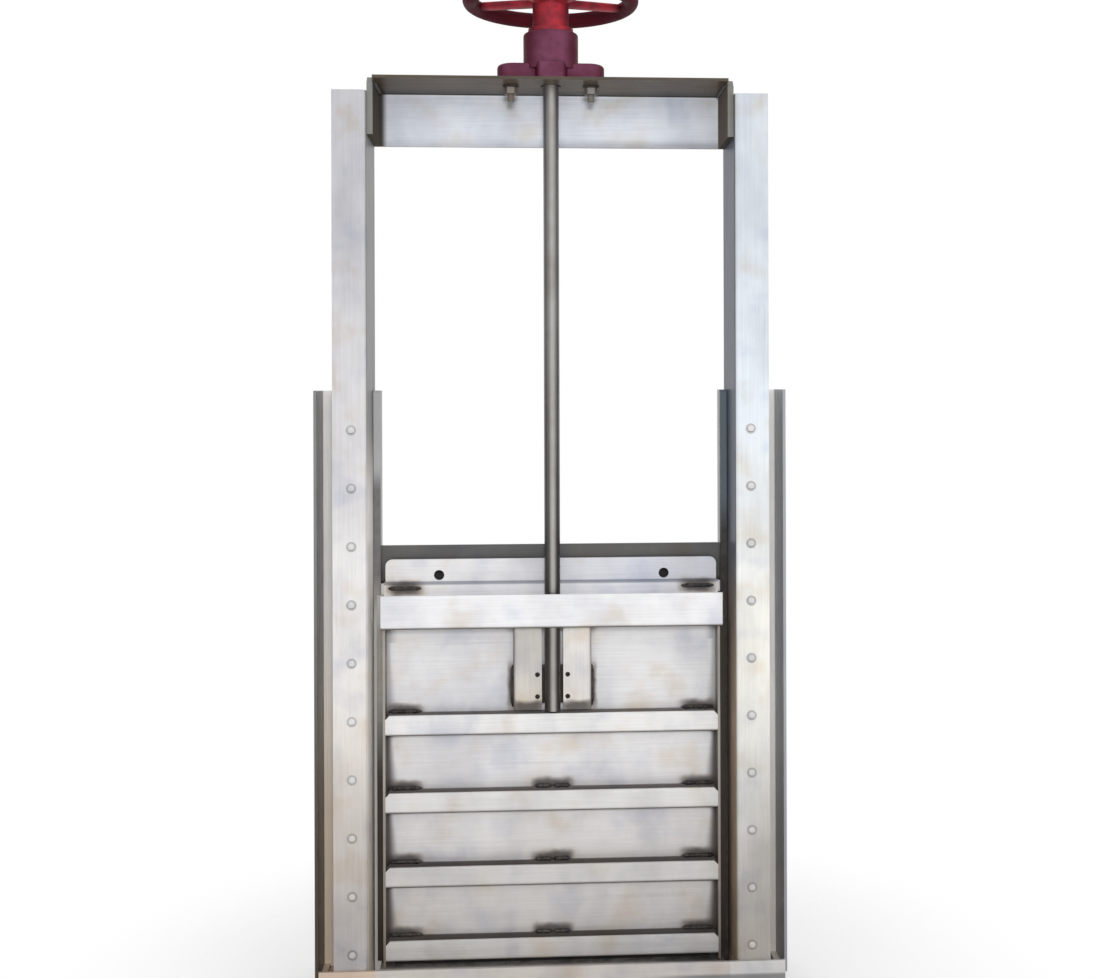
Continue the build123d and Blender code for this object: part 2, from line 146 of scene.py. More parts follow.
class Graph:
    """A node tree with short ways to place, feed and chain its nodes."""

    def __init__(self, tree):
        self.tree = tree

    def feed(self, socket, value):
        if isinstance(value, bpy.types.NodeSocket):
            self.tree.links.new(value, socket)
        elif value is not None:
            socket.default_value = value

    def place(self, kind, inputs=None, **settings):
        node = self.tree.nodes.new(kind)
        for name, value in settings.items():
            setattr(node, name, value)
        for key, value in (inputs or {}).items():
            self.feed(node.inputs[key], value)
        return node

    def here(self):
        """The place on the piece, in metres."""
        return self.place("ShaderNodeTexCoord").outputs["Object"]

    def split(self, vector):
        return self.place("ShaderNodeSeparateXYZ", {0: vector}).outputs

    def facing(self):
        """X, Y and Z of the way that the surface faces."""
        return self.split(self.place("ShaderNodeTexCoord").outputs["Normal"])

    def math(self, operation, a, b=None, c=None, clamp=False):
        node = self.place("ShaderNodeMath", operation=operation, use_clamp=clamp)
        for socket, value in zip(node.inputs, (a, b, c)):
            self.feed(socket, value)
        return node.outputs[0]

    def vector(self, operation, a, b=None, output=0):
        node = self.place("ShaderNodeVectorMath", operation=operation)
        self.feed(node.inputs[0], a)
        self.feed(node.inputs[1], b)
        return node.outputs[output]

    def span(self, value, low, high, to_low=0.0, to_high=1.0, smooth=True):
        inputs = {0: value, 1: low, 2: high, 3: to_low, 4: to_high}
        node = self.place("ShaderNodeMapRange", inputs, clamp=True)
        if smooth:
            node.interpolation_type = "SMOOTHSTEP"
        return node.outputs[0]

    def noise(self, vector, scale, detail=4.0, roughness=0.55):
        inputs = {"Vector": vector, "Scale": scale, "Detail": detail, "Roughness": roughness}
        return self.place("ShaderNodeTexNoise", inputs).outputs[0]

    def mix(self, share, a, b, blend="MIX"):
        node = self.place("ShaderNodeMix", data_type="RGBA", blend_type=blend, clamp_factor=True)
        self.feed(node.inputs[0], share)
        self.feed(node.inputs[6], a)
        self.feed(node.inputs[7], b)
        return node.outputs[2]

    def ramp(self, value, stops):
        node = self.place("ShaderNodeValToRGB", {0: value})
        elements = node.color_ramp.elements
        for element, (position, colour) in zip(elements, (stops[0], stops[-1])):
            element.position, element.color = position, colour
        for position, colour in stops[1:-1]:
            elements.new(position).color = colour
        return node.outputs[0]

    def group(self, tree, inputs=None):
        node = self.place("ShaderNodeGroup", node_tree=tree)
        for key, value in (inputs or {}).items():
            self.feed(node.inputs[key], value)
        return node.outputs

    def bump(self, shader, strength, distance, height):
        inputs = {"Strength": strength, "Distance": distance, "Height": height}
        self.feed(shader.inputs["Normal"], self.place("ShaderNodeBump", inputs).outputs[0])


def new_group(name, inputs, outputs):
    """An empty shader node group with named sockets, its graph, and its input and output nodes."""
    tree = bpy.data.node_groups.new(name, "ShaderNodeTree")
    for socket, (kind, value) in inputs.items():
        made = tree.interface.new_socket(socket, in_out="INPUT", socket_type=kind)
        if value is not None:
            made.default_value = value
    for socket in outputs:
        tree.interface.new_socket(socket, in_out="OUTPUT", socket_type="NodeSocketFloat")
    graph = Graph(tree)
    return graph, graph.place("NodeGroupInput").outputs, graph.place("NodeGroupOutput").inputs


def build_rolled_grain():
    """Fine lines along the rolling, slow clouds, and a drift from cool to warm in the sheet's tone."""
    graph, given, put = new_group(
        "rolled_grain",
        {"Stretch": ("NodeSocketVector", (1, 1, 1))},
        ("Grain", "Cloud", "Drift", "Scratch"),
    )
    place = graph.here()
    stretched = graph.vector("MULTIPLY", place, given["Stretch"])
    graph.feed(put["Grain"], graph.noise(stretched, 260.0, 3.0, 0.6))
    drawn_out = graph.vector("MULTIPLY", place, (1.0, 1.0, 0.6))
    graph.feed(put["Cloud"], graph.noise(drawn_out, 9.0, 4.0, 0.55))
    moved = graph.vector("ADD", place, (3.1, 0.0, 1.7))
    graph.feed(put["Drift"], graph.noise(moved, 11.0, 3.0, 0.5))
    lines = graph.noise(stretched, 70.0, 2.0, 0.5)
    graph.feed(put["Scratch"], graph.span(lines, 0.66, 0.74))
    return graph.tree


def build_corner_grime():
    """Painted shade and soiling where two pieces meet, from ambient occlusion, broken up by a mottle."""
    graph, given, put = new_group(
        "corner_grime",
        {"Reach": ("NodeSocketFloat", 0.03), "Amount": ("NodeSocketFloat", 1.0)},
        ("ShadeAndDirt",),
    )
    hidden = graph.place("ShaderNodeAmbientOcclusion", {"Distance": given["Reach"]}, samples=8)
    mottle = graph.span(graph.noise(graph.here(), 26.0, 5.0, 0.62), 0.3, 0.7, 0.55, 1.2)
    grime = graph.math("MULTIPLY", graph.span(hidden.outputs["AO"], 0.62, 0.16), mottle)
    graph.feed(put["ShadeAndDirt"], graph.math("MULTIPLY", grime, given["Amount"], clamp=True))
    return graph.tree


def build_side_under_shade():
    """Masks for painted shade on the sides and undersides of the sheet."""
    graph, _, put = new_group("side_under_shade", {}, ("Side", "UnderShade"))
    normal = graph.facing()
    graph.feed(put["Side"], graph.span(graph.math("ABSOLUTE", normal[0]), 0.72, 0.97))
    graph.feed(put["UnderShade"], graph.span(graph.math("MULTIPLY", normal[2], -1.0), 0.3, 0.9))
    return graph.tree


def build_low_soiling():
    """Dull film that thickens towards the foot of the gate."""
    graph, given, put = new_group(
        "low_soiling",
        {"Top": ("NodeSocketFloat", 0.60), "Bottom": ("NodeSocketFloat", 0.10)},
        ("Soil",),
    )
    place = graph.here()
    drift = graph.math("SUBTRACT", graph.noise(place, 5.0, 4.0), 0.5)
    height = graph.math("ADD", graph.split(place)[2], graph.math("MULTIPLY", drift, 0.35))
    graph.feed(put["Soil"], graph.span(height, given["Top"], given["Bottom"]))
    return graph.tree


def build_weld_heat(name, spots):
    """Scorch around the welds at the given centres, each with its reach along X, Y and Z."""
    graph, _, put = new_group(name, {}, ("Heat",))
    place = graph.here()
    wobble = graph.place("ShaderNodeTexNoise", {"Vector": place, "Scale": 40.0, "Detail": 1.0})
    wobble = graph.vector("SUBTRACT", wobble.outputs["Color"], (0.5, 0.5, 0.5))
    place = graph.vector("ADD", place, graph.vector("MULTIPLY", wobble, (0.010, 0.010, 0.010)))
    heat = None
    for centre, reach in spots:
        away = graph.vector("SUBTRACT", place, tuple(centre))
        away = graph.vector("DIVIDE", away, tuple(reach))
        for _ in range(2):
            away = graph.vector("MULTIPLY", away, away)
        total = graph.vector("DOT_PRODUCT", away, (1.0, 1.0, 1.0), output=1)
        spot = graph.span(graph.math("POWER", total, 0.25), 1.2, 0.2)
        heat = spot if heat is None else graph.math("MAXIMUM", heat, spot)
    graph.feed(put["Heat"], heat)
    return graph.tree


rolled_grain = build_rolled_grain()
corner_grime = build_corner_grime()
side_under_shade = build_side_under_shade()
low_soiling = build_low_soiling()


def new_material(name):
    """A material with its graph and its Principled shader."""
    material = bpy.data.materials.new(name)
    material.use_nodes = True
    shader = next(node for node in material.node_tree.nodes if node.type == "BSDF_PRINCIPLED")
    return material, Graph(material.node_tree), shader


def stainless(
    name, bright, side, stretch, under=UNDER_SHADE, soil=0.6, grime=1.0, heat=None, reach=0.03,
    metallic=0.45, rough=0.36, shine=0.2, clouds=1.0, marks=None,
):
    """Rolled stainless sheet: bright fronts, painted shade on the sides and undersides, film at the
    foot, painted shade and soiling in the corners.

    marks adds a piece's own marks: from the graph, the colour and the place's X, Y and Z it makes
    the marked colour.
    """
    material, graph, shader = new_material(name)
    grain = graph.group(rolled_grain, {"Stretch": stretch})
    facing_shade = graph.group(side_under_shade)
    # Painted shade: the sides take the side colour and the undersides the under colour.
    colour = graph.mix(facing_shade["Side"], bright, side)
    colour = graph.mix(facing_shade["UnderShade"], colour, under)
    if marks is not None:
        colour = marks(graph, colour, *graph.split(graph.here()))
    for mask, low, high, tint in (
        ("Cloud", 0.38, 0.68, linear(238, 238, 240)),
        ("Drift", 0.52, 0.74, linear(246, 239, 229)),
        ("Drift", 0.48, 0.28, linear(238, 240, 247)),
    ):
        colour = graph.mix(graph.span(grain[mask], low, high, 0.0, clouds), colour, tint, "MULTIPLY")
    tone = graph.span(grain["Grain"], 0.25, 0.75, 0.95, 1.04)
    grey = graph.place("ShaderNodeCombineColor", {0: tone, 1: tone, 2: tone}).outputs[0]
    colour = graph.mix(1.0, colour, grey, "MULTIPLY")
    colour = graph.mix(graph.math("MULTIPLY", grain["Scratch"], 0.12), colour, SCRATCHED)
    film = graph.math("MULTIPLY", graph.group(low_soiling)["Soil"], soil)
    colour = graph.mix(film, colour, DULL_FILM, "MULTIPLY")
    shade_and_dirt = graph.group(corner_grime, {"Reach": reach, "Amount": grime})["ShadeAndDirt"]
    metal = graph.math("SUBTRACT", metallic, graph.math("MULTIPLY", shade_and_dirt, metallic))
    metal = graph.math("MULTIPLY", metal, graph.span(facing_shade["Side"], 0.0, 1.0, 1.0, 0.1, smooth=False))
    if heat is not None:
        scorch = graph.group(heat)["Heat"]
        straw = graph.math("MULTIPLY", graph.span(scorch, 0.0, 0.6), 0.5)
        colour = graph.mix(straw, colour, STRAW_TINT, "MULTIPLY")
        black = graph.math("MULTIPLY", graph.span(scorch, 0.2, 1.0), 0.88)
        colour = graph.mix(black, colour, BURNT)
        metal = graph.math("MULTIPLY", metal, graph.span(scorch, 0.4, 1.0, 1.0, 0.35))
    # Painted shade and soiling in the corners.
    colour = graph.mix(graph.math("MULTIPLY", shade_and_dirt, 0.85), colour, CORNER_SHADE_AND_DIRT)
    graph.feed(shader.inputs["Base Color"], colour)
    graph.feed(shader.inputs["Metallic"], metal)
    sheen = graph.span(grain["Grain"], 0.2, 0.8, rough - 0.06, rough + 0.06)
    sheen = graph.math("ADD", sheen, graph.math("MULTIPLY", film, 0.08))
    sheen = graph.math("ADD", sheen, graph.math("MULTIPLY", shade_and_dirt, 0.3), clamp=True)
    graph.feed(shader.inputs["Roughness"], sheen)
    shader.inputs["Specular IOR Level"].default_value = shine
    graph.bump(shader, 0.12, 0.0004, grain["Grain"])
    return material


def dress(material, *names):
    """Gives CAD nodes a material."""
    for name in names:
        slots = nodes[name].data.materials
        slots.clear()
        slots.append(material)


def add_camera():
    """The camera at the photograph's place."""
    camera = bpy.data.cameras.new("camera")
    camera.sensor_fit = "HORIZONTAL"
    camera.sensor_width = SENSOR_WIDTH
    camera.lens = FOCAL_LENGTH / PHOTO_WIDTH * SENSOR_WIDTH
    camera.shift_x = (PHOTO_WIDTH / 2 - SIGHT_X) / PHOTO_WIDTH
    camera.shift_y = (SIGHT_Y - PHOTO_HEIGHT / 2) / PHOTO_WIDTH
    right = Vector((math.cos(CAMERA_YAW), -math.sin(CAMERA_YAW), 0.0))
    up = Vector((0.0, 0.0, 1.0))
    ahead = Vector((math.sin(CAMERA_YAW), math.cos(CAMERA_YAW), 0.0))
    turned_right = math.cos(CAMERA_ROLL) * right + math.sin(CAMERA_ROLL) * up
    turned_up = math.cos(CAMERA_ROLL) * up - math.sin(CAMERA_ROLL) * right
    rotation = Matrix((turned_right, turned_up, -ahead)).transposed()
    viewer = bpy.data.objects.new("camera", camera)
    viewer.matrix_world = Matrix.Translation(CAMERA_PLACE) @ rotation.to_4x4()
    bpy.context.scene.collection.objects.link(viewer)
    bpy.context.scene.camera = viewer


def add_floor():
    """A pale floor that fades out around the gate."""
    mesh = bmesh.new()
    bmesh.ops.create_circle(mesh, cap_ends=True, segments=96, radius=FLOOR_RADIUS)
    data = bpy.data.meshes.new("floor")
    mesh.to_mesh(data)
    mesh.free()
    floor = bpy.data.objects.new("floor", data)
    floor.location = FLOOR_PLACE
    bpy.context.scene.collection.objects.link(floor)
    material, graph, shader = new_material("pale_floor")
    away = graph.vector("LENGTH", graph.here(), output=1)
    graph.feed(shader.inputs["Base Color"], linear(252, 252, 252))
    graph.feed(shader.inputs["Roughness"], 0.8)
    graph.feed(shader.inputs["Alpha"], graph.span(away, 1.1, 0.45, 0.0, 0.5))
    data.materials.append(material)


def add_light():
    """A white surround, dimmer as a light than it looks, and soft round lamps."""
    world = bpy.data.worlds.new("studio")
    world.use_nodes = True
    bpy.context.scene.world = world
    graph = Graph(world.node_tree)
    background = next(node for node in world.node_tree.nodes if node.type == "BACKGROUND")
    path = graph.place("ShaderNodeLightPath").outputs
    seen = graph.math("ADD", path["Is Camera Ray"], path["Is Glossy Ray"])
    seen = graph.math("ADD", seen, path["Is Transmission Ray"], clamp=True)
    graph.feed(background.inputs["Color"], (1.0, 1.0, 1.0, 1.0))
    graph.feed(background.inputs["Strength"], graph.span(seen, 0.0, 1.0, 0.42, 1.0, smooth=False))

    aim = Vector((0.0, -0.1, 1.0))
    for name, place, size, power in (
        ("front_lamp", (0.0, -4.0, 1.7), 0.5, 70.0),
        ("left_lamp", (-2.8, -3.2, 2.4), 2.6, 8.0),
        ("right_lamp", (3.0, -3.0, 1.8), 2.6, 34.0),
        ("top_lamp", (0.3, -0.8, 4.6), 2.6, 16.0),
        ("back_lamp", (-1.2, 3.4, 3.0), 2.6, 30.0),
    ):
        lamp = bpy.data.lights.new(name, "AREA")
        lamp.shape = "DISK"
        lamp.size = size
        lamp.energy = power
        holder = bpy.data.objects.new(name, lamp)
        holder.location = place
        holder.rotation_euler = (aim - Vector(place)).to_track_quat("-Z", "Y").to_euler()
        holder.visible_glossy = False
        bpy.context.scene.collection.objects.link(holder)
    bpy.context.scene.view_settings.view_transform = "Standard"


add_camera()
add_floor()
add_light()


def leaf_welds():
    """Start and end of each bead on the leaf: stitches on the stiffeners, and runs beside the lugs."""
    runs = []
    for side in (-1, 1):
        near, far = (side * (PANEL_HALF - inset) for inset in STITCH_ENDS)
        for top in RIB_TOPS:
            runs.append(((near, STITCH_Y, top + STITCH_RISE), (far, STITCH_Y, top + STITCH_RISE)))
        runs.append(((near, TROUGH_BEAD_Y, TROUGH_BEAD_Z), (far, TROUGH_BEAD_Y, TROUGH_BEAD_Z)))
        foot = (side * LUG_BEAD_X, LUG_BEAD_Y, LUG_BOTTOM)
        runs.append((foot, (side * LUG_BEAD_X, LUG_BEAD_Y, LUG_BOTTOM + LUG_BEAD_LENGTH)))
    near, far = MIDDLE_STITCH
    for top in RIB_TOPS[1:]:
        for low, high in ((-far, -near), (near, far)):
            runs.append(((low, STITCH_Y, top + STITCH_RISE), (high, STITCH_Y, top + STITCH_RISE)))
    return runs


def burns():
    """Centre and reach of the burn marks on the feet of the lugs and across the middle stitches."""
    x, y, z = LUG_BURN
    marks = [((side * x, y, z), LUG_BURN_REACH) for side in (-1, 1)]
    for top in RIB_TOPS[1:]:
        marks.append(((0.0, STITCH_Y, top + STITCH_RISE), STITCH_BURN_REACH))
    return marks


def beam_welds():
    """Start and end of each bead where the end plates meet the beam's flange."""
    front, back = BEAM_BEAD_Y
    return [
        ((side * BEAM_BEAD_X, front, BEAM_BEAD_Z), (side * BEAM_BEAD_X, back, BEAM_BEAD_Z))
        for side in (-1, 1)
    ]


def scorch_spots(runs, spread):
    """Centre and reach of the scorch around each bead, which spreads by the given X, Y and Z."""
    spots = []
    for start, end in runs:
        start, end = Vector(start), Vector(end)
        half = (end - start) / 2
        spots.append(((start + end) / 2, [abs(part) + more for part, more in zip(half, spread)]))
    return spots


leaf_heat = build_weld_heat("leaf_heat", scorch_spots(leaf_welds(), LEAF_SCORCH_SPREAD) + burns())
beam_heat = build_weld_heat("beam_heat", scorch_spots(beam_welds(), BEAM_SCORCH_SPREAD))


def by_height(graph, z, stops):
    """A tone that changes with height, from stops of height and screen colour."""
    stops = [(height / FULL_HEIGHT, linear(*tone)) for height, tone in stops]
    return graph.ramp(graph.math("DIVIDE", z, FULL_HEIGHT), stops)


def channel_marks(graph, colour, x, y, z):
    """The outer leg's darker front edge, painted shade on the left leg that deepens towards the bottom,
    painted light that makes the right leg a lighter bluish grey, and a tan film on the left web.
    """
    colour = graph.mix(graph.math("LESS_THAN", y, CHANNEL_LEG_FRONT), colour, linear(150, 150, 151))
    leg = graph.math("GREATER_THAN", graph.math("ABSOLUTE", x), CHANNEL_LEG_X)
    # Painted shade on the left outer leg, darker towards the bottom.
    film = graph.math("MULTIPLY", leg, graph.span(z, 1.1, 0.2))
    left = graph.math("LESS_THAN", x, 0.0)
    colour = graph.mix(graph.math("MULTIPLY", film, left), colour, linear(160, 158, 156), "MULTIPLY")
    tan = graph.math("MULTIPLY", graph.span(z, 0.85, 0.25), graph.math("LESS_THAN", y, WEB_FRONT))
    colour = graph.mix(graph.math("MULTIPLY", tan, left), colour, linear(255, 242, 226), "MULTIPLY")
    # Painted light: the right outer leg a lighter bluish grey than the left one.
    right = graph.math("MULTIPLY", leg, graph.math("SUBTRACT", 1.0, left))
    return graph.mix(right, colour, linear(172, 175, 182))


def left_upright_marks(graph, colour, x, y, z):
    """A face that is darker at the top and browner at mid height, and a return with painted shade at the
    top and painted light low down.
    """
    tones = (
        (0.10, (226, 228, 234)),
        (0.45, (231, 225, 217)),
        (0.75, (246, 243, 241)),
        (1.60, (204, 204, 208)),
    )
    colour = graph.mix(1.0, colour, by_height(graph, z, tones), "MULTIPLY")
    # Painted light and shade on the return: dark at the top, light low down where it lies in shade.
    inner = graph.mix(graph.span(z, 1.15, 0.95), linear(138, 138, 137), linear(252, 246, 240))
    return graph.mix(graph.math("GREATER_THAN", x, -RETURN_X), colour, inner)


def right_upright_marks(graph, colour, x, y, z):
    """A face that is warm at mid height and bluish above it, and painted shade on the return, lighter
    and browner low down.
    """
    tones = (
        (0.20, (217, 219, 220)),
        (0.70, (255, 253, 243)),
        (1.20, (235, 243, 250)),
        (1.60, (224, 230, 235)),
    )
    colour = graph.mix(1.0, colour, by_height(graph, z, tones), "MULTIPLY")
    # Painted shade on the return: dark bluish grey above, lighter brown below.
    inner = graph.mix(graph.span(z, 0.95, 0.6), linear(80, 89, 103), linear(188, 168, 148))
    return graph.mix(graph.math("LESS_THAN", x, RETURN_X), colour, inner)


def beam_end_marks(graph, colour, x, y, z):
    """Painted shade on the faces that look into the beam, lighter on the right."""
    inner = graph.math("LESS_THAN", graph.math("ABSOLUTE", x), BEAM_END_X)
    edge = graph.math("LESS_THAN", y, BEAM_END_FRONT)
    # Painted shade, darker on the left end plate.
    film = graph.mix(graph.math("GREATER_THAN", x, 0.0), linear(92, 86, 79), linear(124, 115, 108))
    return graph.mix(graph.math("SUBTRACT", inner, edge, clamp=True), colour, film)


def rib_marks(graph, colour, x, y, z):
    """Painted shade and soiling on the leg that lies against the plate, darker on the lower stiffeners;
    the fronts' tone changes with height.
    """
    # Painted shade and soiling in the slot behind each stiffener's front.
    inside = graph.math("GREATER_THAN", y, RIB_LEG_FRONT)
    tone = graph.mix(graph.span(z, 0.15, 0.5), linear(106, 101, 98), linear(130, 126, 123))
    front = ((0.06, (255, 255, 255)), (0.22, (230, 229, 228)), (0.50, (252, 251, 250)))
    colour = graph.mix(1.0, colour, by_height(graph, z, front), "MULTIPLY")
    return graph.mix(inside, colour, tone)


def beam_marks(graph, colour, x, y, z):
    """The flange's darker front edge, painted shadow on the underside towards the web, a darker lower
    edge on the web, and a dark band on the web beside the left end plate.
    """
    colour = graph.mix(graph.math("LESS_THAN", y, FLANGE_FRONT), colour, linear(96, 88, 78))
    below = graph.math("COMPARE", z, BEAM_UNDERSIDE, 0.001)
    # Painted shadow in the corner where the flange's underside meets the web.
    back = graph.math("MULTIPLY", below, graph.span(y, -0.090, -0.020))
    colour = graph.mix(back, colour, linear(74, 66, 59))
    edge = graph.span(z, BEAM_BOTTOM + 0.024, BEAM_BOTTOM)
    edge = graph.math("MULTIPLY", edge, graph.span(x, -0.2, 0.2, 0.45, 1.0))
    colour = graph.mix(edge, colour, linear(204, 203, 204), "MULTIPLY")
    # A dark band on the web beside the left end plate.
    left_end_band = graph.span(x, 0.019 - BEAM_END_X, 0.004 - BEAM_END_X)
    left_end_band = graph.math("MULTIPLY", left_end_band, graph.math("LESS_THAN", z, BEAM_UNDERSIDE - 0.001))
    return graph.mix(left_end_band, colour, linear(80, 75, 71))


def leaf_marks(graph, colour, x, y, z):
    """The trough's blue top seam, a greyer strip above it, painted shadow at the panel ends, and painted
    shade on the margins, lighter on the left higher up.
    """
    seam = graph.math("ABSOLUTE", graph.math("SUBTRACT", z, SEAM_Z))
    seam = graph.span(seam, 0.0052, 0.0012)
    seam = graph.math("MULTIPLY", seam, graph.math("LESS_THAN", y, PLATE_FRONT + 0.001))
    colour = graph.mix(graph.math("MULTIPLY", seam, 0.8), colour, linear(136, 141, 152))
    greyer = graph.math("MULTIPLY", graph.math("GREATER_THAN", z, SEAM_Z), graph.span(x, -0.25, 0.25))
    colour = graph.mix(greyer, colour, linear(236, 239, 246), "MULTIPLY")
    away = graph.math("ABSOLUTE", x)
    rise = graph.math("DIVIDE", graph.math("SUBTRACT", z, RIB_TOPS[3]), RIB_PITCH)
    width = graph.span(graph.math("FRACT", rise), 0.0, 0.9, 0.026, 0.011)
    inwards = graph.math("DIVIDE", graph.math("SUBTRACT", PANEL_HALF, away), width)
    # Painted shadow of the edge bars: a wedge at each panel end, wider towards the bottom.
    panel_end_shadow = graph.math("MULTIPLY", graph.span(inwards, 1.0, 0.1), graph.span(z, 0.60, 0.48, 0.4, 0.9))
    panel_end_shadow = graph.math("MULTIPLY", panel_end_shadow, graph.math("LESS_THAN", z, TROUGH_BOTTOM))
    colour = graph.mix(panel_end_shadow, colour, linear(76, 68, 66))
    # Painted shade on the margin that lies deep beside the edge bars.
    margin_shade = graph.math("GREATER_THAN", away, MARGIN_X)
    margin_shade = graph.math("MULTIPLY", margin_shade, graph.math("LESS_THAN", z, MARGIN_TOP))
    colour = graph.mix(margin_shade, colour, linear(84, 77, 70))
    # Painted light: the left margin lighter higher up.
    left = graph.math("MULTIPLY", graph.math("LESS_THAN", x, 0.0), graph.span(z, 0.40, 0.60))
    return graph.mix(graph.math("MULTIPLY", margin_shade, left), colour, linear(190, 186, 180))


def lug_marks(graph, colour, x, y, z):
    """The left lug is darker than the right one."""
    return graph.mix(graph.math("LESS_THAN", x, 0.0), colour, linear(230, 228, 224), "MULTIPLY")


def foot_marks(graph, colour, x, y, z):
    """Darker along the lower edge on the right."""
    low_edge_dark = graph.math("MULTIPLY", graph.span(z, 0.038, 0.031), graph.span(x, 0.15, 0.30))
    return graph.mix(low_edge_dark, colour, linear(160, 163, 165))


def sheet(name, wearers, **look):
    """Makes one kind of stainless sheet and dresses its pieces in it."""
    dress(stainless(name, **look), *wearers)


# Frame
CHANNEL_PIECES = ("guide_channel", "post_angle", "jamb")
# Each sheet's side and under colours are painted shade on its sides and undersides.
sheet(
    "left_upright_steel", ["left_upright"], bright=BRIGHT_SHEET, side=linear(196, 196, 195),
    stretch=ALONG_Z, soil=0.95, grime=0.2, shine=0.1, marks=left_upright_marks,
)
sheet(
    "right_upright_steel", ["right_upright"], bright=BRIGHT_SHEET, side=linear(196, 198, 200),
    stretch=ALONG_Z, soil=1.0, grime=0.2, shine=0.1, marks=right_upright_marks,
)
sheet(
    "left_foot_steel", ["left_foot"], bright=linear(238, 220, 205), side=linear(160, 150, 140),
    stretch=ALONG_X, soil=0.7,
)
sheet(
    "right_foot_steel", ["right_foot"], bright=linear(236, 238, 240), side=linear(130, 128, 126),
    stretch=ALONG_X, soil=0.6, marks=foot_marks,
)
sheet(
    "channel_steel",
    [f"{side}_{piece}" for side in ("left", "right") for piece in CHANNEL_PIECES],
    bright=linear(255, 252, 248), side=linear(150, 150, 151), stretch=ALONG_Z, grime=0.05, rough=0.3,
    metallic=0.05, clouds=0.25, marks=channel_marks,
)
sheet(
    "beam_steel", ["top_beam"], bright=linear(236, 241, 249), side=linear(96, 88, 78),
    under=linear(102, 87, 70), stretch=ALONG_X, grime=0.15, shine=0.05, heat=beam_heat, metallic=0.25,
    marks=beam_marks,
)
sheet(
    "beam_end_steel", ["left_beam_end", "right_beam_end"], bright=linear(150, 150, 146),
    side=linear(168, 168, 165), under=linear(92, 85, 76), stretch=ALONG_X, grime=0.5, rough=0.7,
    shine=0.0, marks=beam_end_marks,
)
# The lintel's dark colour is partly stain and partly painted shade from the leaf in front of it.
sheet(
    "lintel_steel", ["lintel"], bright=linear(104, 103, 102), side=linear(80, 76, 70),
    under=linear(70, 66, 60), stretch=ALONG_X,
)
sheet(
    "sill_steel", ["sill"], bright=linear(232, 230, 230), side=linear(112, 107, 102),
    stretch=ALONG_X, soil=0.7, marks=foot_marks,
)

# Leaf
sheet(
    "saddle_steel", ["stem_saddle"], bright=linear(66, 62, 58), side=linear(60, 56, 52), stretch=ALONG_Z,
)
sheet(
    "leaf_steel", ["leaf_plate"], bright=linear(236, 235, 236), side=linear(112, 107, 102),
    stretch=ALONG_X, soil=0.5, heat=leaf_heat, metallic=0.35, marks=leaf_marks,
)
sheet(
    "edge_steel", ["left_leaf_edge", "right_leaf_edge"], bright=linear(176, 170, 163),
    side=linear(110, 105, 100), stretch=ALONG_Z, soil=0.8,
)
sheet(
    "lug_steel", ["left_stem_lug", "right_stem_lug"], bright=linear(238, 234, 229),
    side=linear(112, 107, 102), stretch=ALONG_Z, soil=0.5, heat=leaf_heat, marks=lug_marks,
)
sheet(
    "trough_steel", ["top_stiffener"], bright=linear(242, 242, 244), side=linear(112, 109, 105),
    stretch=ALONG_X, soil=0.5, grime=0.2, reach=0.012, heat=leaf_heat, metallic=0.3, marks=leaf_marks,
)
sheet(
    "rib_steel", [f"stiffener_{number}" for number in (2, 3, 4, 5)], bright=linear(242, 242, 242),
    side=linear(112, 109, 105), stretch=ALONG_X, soil=0.3, reach=0.016, metallic=0.35, marks=rib_marks,
)


def stem_finish():
    """Drawn bar: a painted highlight down the front, painted shade on the sides that darkens downwards,
    and a fine thread.
    """
    material, graph, shader = new_material("stem_steel")
    height = graph.split(graph.here())[2]
    # Painted highlight on the faces towards the front, painted shade on the sides.
    away = graph.math("ABSOLUTE", graph.math("SUBTRACT", graph.facing()[0], 0.06))
    sides = graph.mix(graph.span(height, 0.75, 1.45), linear(70, 68, 66), linear(130, 129, 128))
    colour = graph.mix(graph.span(away, 0.05, 0.55), linear(180, 178, 175), sides)
    grain = graph.group(rolled_grain, {"Stretch": ALONG_Z})
    colour = graph.mix(graph.span(grain["Cloud"], 0.4, 0.7), colour, linear(220, 215, 208), "MULTIPLY")
    graph.feed(shader.inputs["Base Color"], colour)
    shader.inputs["Metallic"].default_value = 0.8
    graph.feed(shader.inputs["Roughness"], graph.span(grain["Grain"], 0.2, 0.8, 0.3, 0.42))
    graph.bump(shader, 0.06, 0.6, graph.math("PINGPONG", height, 0.003))
    return material


